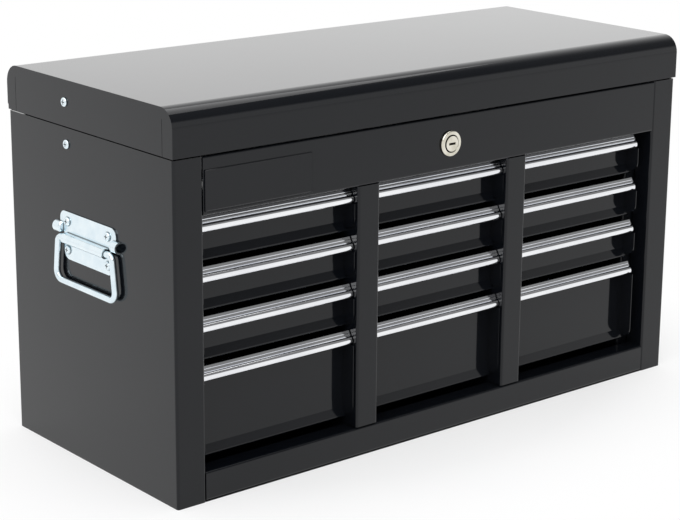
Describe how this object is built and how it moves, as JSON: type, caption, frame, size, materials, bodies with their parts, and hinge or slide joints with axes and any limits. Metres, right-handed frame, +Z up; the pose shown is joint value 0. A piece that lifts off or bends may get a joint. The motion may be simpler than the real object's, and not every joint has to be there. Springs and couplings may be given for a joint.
{
  "type": "machinist tool chest",
  "caption": "Sheet-steel top chest with rows of slide-out drawers in three columns, a hinged lid over a till, a cam lock and folding end handles.",
  "frame": {"origin": "centre of the base, on the floor", "axes": "+X along the width to the viewer's right, the drawers open towards -Y, +Z up"},
  "size_m": [0.68, 0.2871, 0.3765],
  "materials": {
    "black_gloss": "gloss black baked enamel",
    "bright_pull": "bright drawn metal trim",
    "zinc": "bright zinc plate",
    "nickel": "warm nickel plate"
  },
  "bodies": {
    "case": {"side_panel_left": "black_gloss", "side_panel_right": "black_gloss", "back_panel": "black_gloss", "bottom_pan": "black_gloss", "top_rail": "black_gloss", "bottom_rail": "black_gloss", "dividers": "black_gloss", "till_floor": "black_gloss", "slide_uprights": "black_gloss", "case_runners": "zinc", "hinge_case_leaves": "zinc", "lock_housing": "nickel", "handle_plates": "zinc", "case_screws": "zinc"},
    "lid": {"lid_shell": "black_gloss", "hinge_lid_leaves": "zinc", "lid_catch": "zinc", "lid_screws": "zinc"},
    "lock": {"lock_plug": "nickel", "lock_cam": "zinc"},
    "bail_left": {"bail_left": "zinc"},
    "bail_right": {"bail_right": "zinc"},
    "stay_lower": {"stay_lower_arms": "zinc"},
    "stay_upper": {"stay_upper_arms": "zinc"},
    "drawer_left_1": {"drawer_left_1": "black_gloss", "pull_left_1": "bright_pull", "runners_left_1": "zinc"},
    "drawer_left_2": {"drawer_left_2": "black_gloss", "pull_left_2": "bright_pull", "runners_left_2": "zinc"},
    "drawer_left_3": {"drawer_left_3": "black_gloss", "pull_left_3": "bright_pull", "runners_left_3": "zinc"},
    "drawer_left_4": {"drawer_left_4": "black_gloss", "pull_left_4": "bright_pull", "runners_left_4": "zinc"},
    "drawer_mid_1": {"drawer_mid_1": "black_gloss", "pull_mid_1": "bright_pull", "runners_mid_1": "zinc"},
    "drawer_mid_2": {"drawer_mid_2": "black_gloss", "pull_mid_2": "bright_pull", "runners_mid_2": "zinc"},
    "drawer_mid_3": {"drawer_mid_3": "black_gloss", "pull_mid_3": "bright_pull", "runners_mid_3": "zinc"},
    "drawer_mid_4": {"drawer_mid_4": "black_gloss", "pull_mid_4": "bright_pull", "runners_mid_4": "zinc"},
    "drawer_right_1": {"drawer_right_1": "black_gloss", "pull_right_1": "bright_pull", "runners_right_1": "zinc"},
    "drawer_right_2": {"drawer_right_2": "black_gloss", "pull_right_2": "bright_pull", "runners_right_2": "zinc"},
    "drawer_right_3": {"drawer_right_3": "black_gloss", "pull_right_3": "bright_pull", "runners_right_3": "zinc"},
    "drawer_right_4": {"drawer_right_4": "black_gloss", "pull_right_4": "bright_pull", "runners_right_4": "zinc"}
  },
  "joints": [
    {"name": "lid_hinge", "type": "hinge", "parent": "case", "child": "lid", "pos_m": [0, 0.14, 0.3333], "axis": [-1, 0, 0], "range_deg": [0, 90]},
    {"name": "stay_lower_pivot", "type": "hinge", "parent": "case", "child": "stay_lower", "pos_m": [0, 0.035, 0.3142], "axis": [-1, 0, 0], "range_deg": [0, 90]},
    {"name": "stay_upper_pivot", "type": "hinge", "parent": "lid", "child": "stay_upper", "pos_m": [0, 0.035, 0.355], "axis": [-1, 0, 0], "range_deg": [-90, 0]},
    {"name": "lock_turn", "type": "hinge", "parent": "case", "child": "lock", "pos_m": [0, -0.141, 0.302], "axis": [0, 1, 0], "range_deg": [0, 90]},
    {"name": "bail_left_swing", "type": "hinge", "parent": "case", "child": "bail_left", "pos_m": [-0.335, 0, 0.223], "axis": [0, 1, 0], "range_deg": [0, 90]},
    {"name": "bail_right_swing", "type": "hinge", "parent": "case", "child": "bail_right", "pos_m": [0.335, 0, 0.223], "axis": [0, -1, 0], "range_deg": [0, 90]},
    {"name": "drawer_left_1_slide", "type": "slide", "parent": "case", "child": "drawer_left_1", "axis": [0, -1, 0], "range_m": [0, 0.2]},
    {"name": "drawer_left_2_slide", "type": "slide", "parent": "case", "child": "drawer_left_2", "axis": [0, -1, 0], "range_m": [0, 0.2]},
    {"name": "drawer_left_3_slide", "type": "slide", "parent": "case", "child": "drawer_left_3", "axis": [0, -1, 0], "range_m": [0, 0.2]},
    {"name": "drawer_left_4_slide", "type": "slide", "parent": "case", "child": "drawer_left_4", "axis": [0, -1, 0], "range_m": [0, 0.2]},
    {"name": "drawer_mid_1_slide", "type": "slide", "parent": "case", "child": "drawer_mid_1", "axis": [0, -1, 0], "range_m": [0, 0.2]},
    {"name": "drawer_mid_2_slide", "type": "slide", "parent": "case", "child": "drawer_mid_2", "axis": [0, -1, 0], "range_m": [0, 0.2]},
    {"name": "drawer_mid_3_slide", "type": "slide", "parent": "case", "child": "drawer_mid_3", "axis": [0, -1, 0], "range_m": [0, 0.2]},
    {"name": "drawer_mid_4_slide", "type": "slide", "parent": "case", "child": "drawer_mid_4", "axis": [0, -1, 0], "range_m": [0, 0.2]},
    {"name": "drawer_right_1_slide", "type": "slide", "parent": "case", "child": "drawer_right_1", "axis": [0, -1, 0], "range_m": [0, 0.2]},
    {"name": "drawer_right_2_slide", "type": "slide", "parent": "case", "child": "drawer_right_2", "axis": [0, -1, 0], "range_m": [0, 0.2]},
    {"name": "drawer_right_3_slide", "type": "slide", "parent": "case", "child": "drawer_right_3", "axis": [0, -1, 0], "range_m": [0, 0.2]},
    {"name": "drawer_right_4_slide", "type": "slide", "parent": "case", "child": "drawer_right_4", "axis": [0, -1, 0], "range_m": [0, 0.2]}
  ],
  "couplings": [
    {"joint": "stay_lower_pivot", "follows": "lid_hinge", "ratio": 1},
    {"joint": "stay_upper_pivot", "follows": "lid_hinge", "ratio": -1}
  ]
}
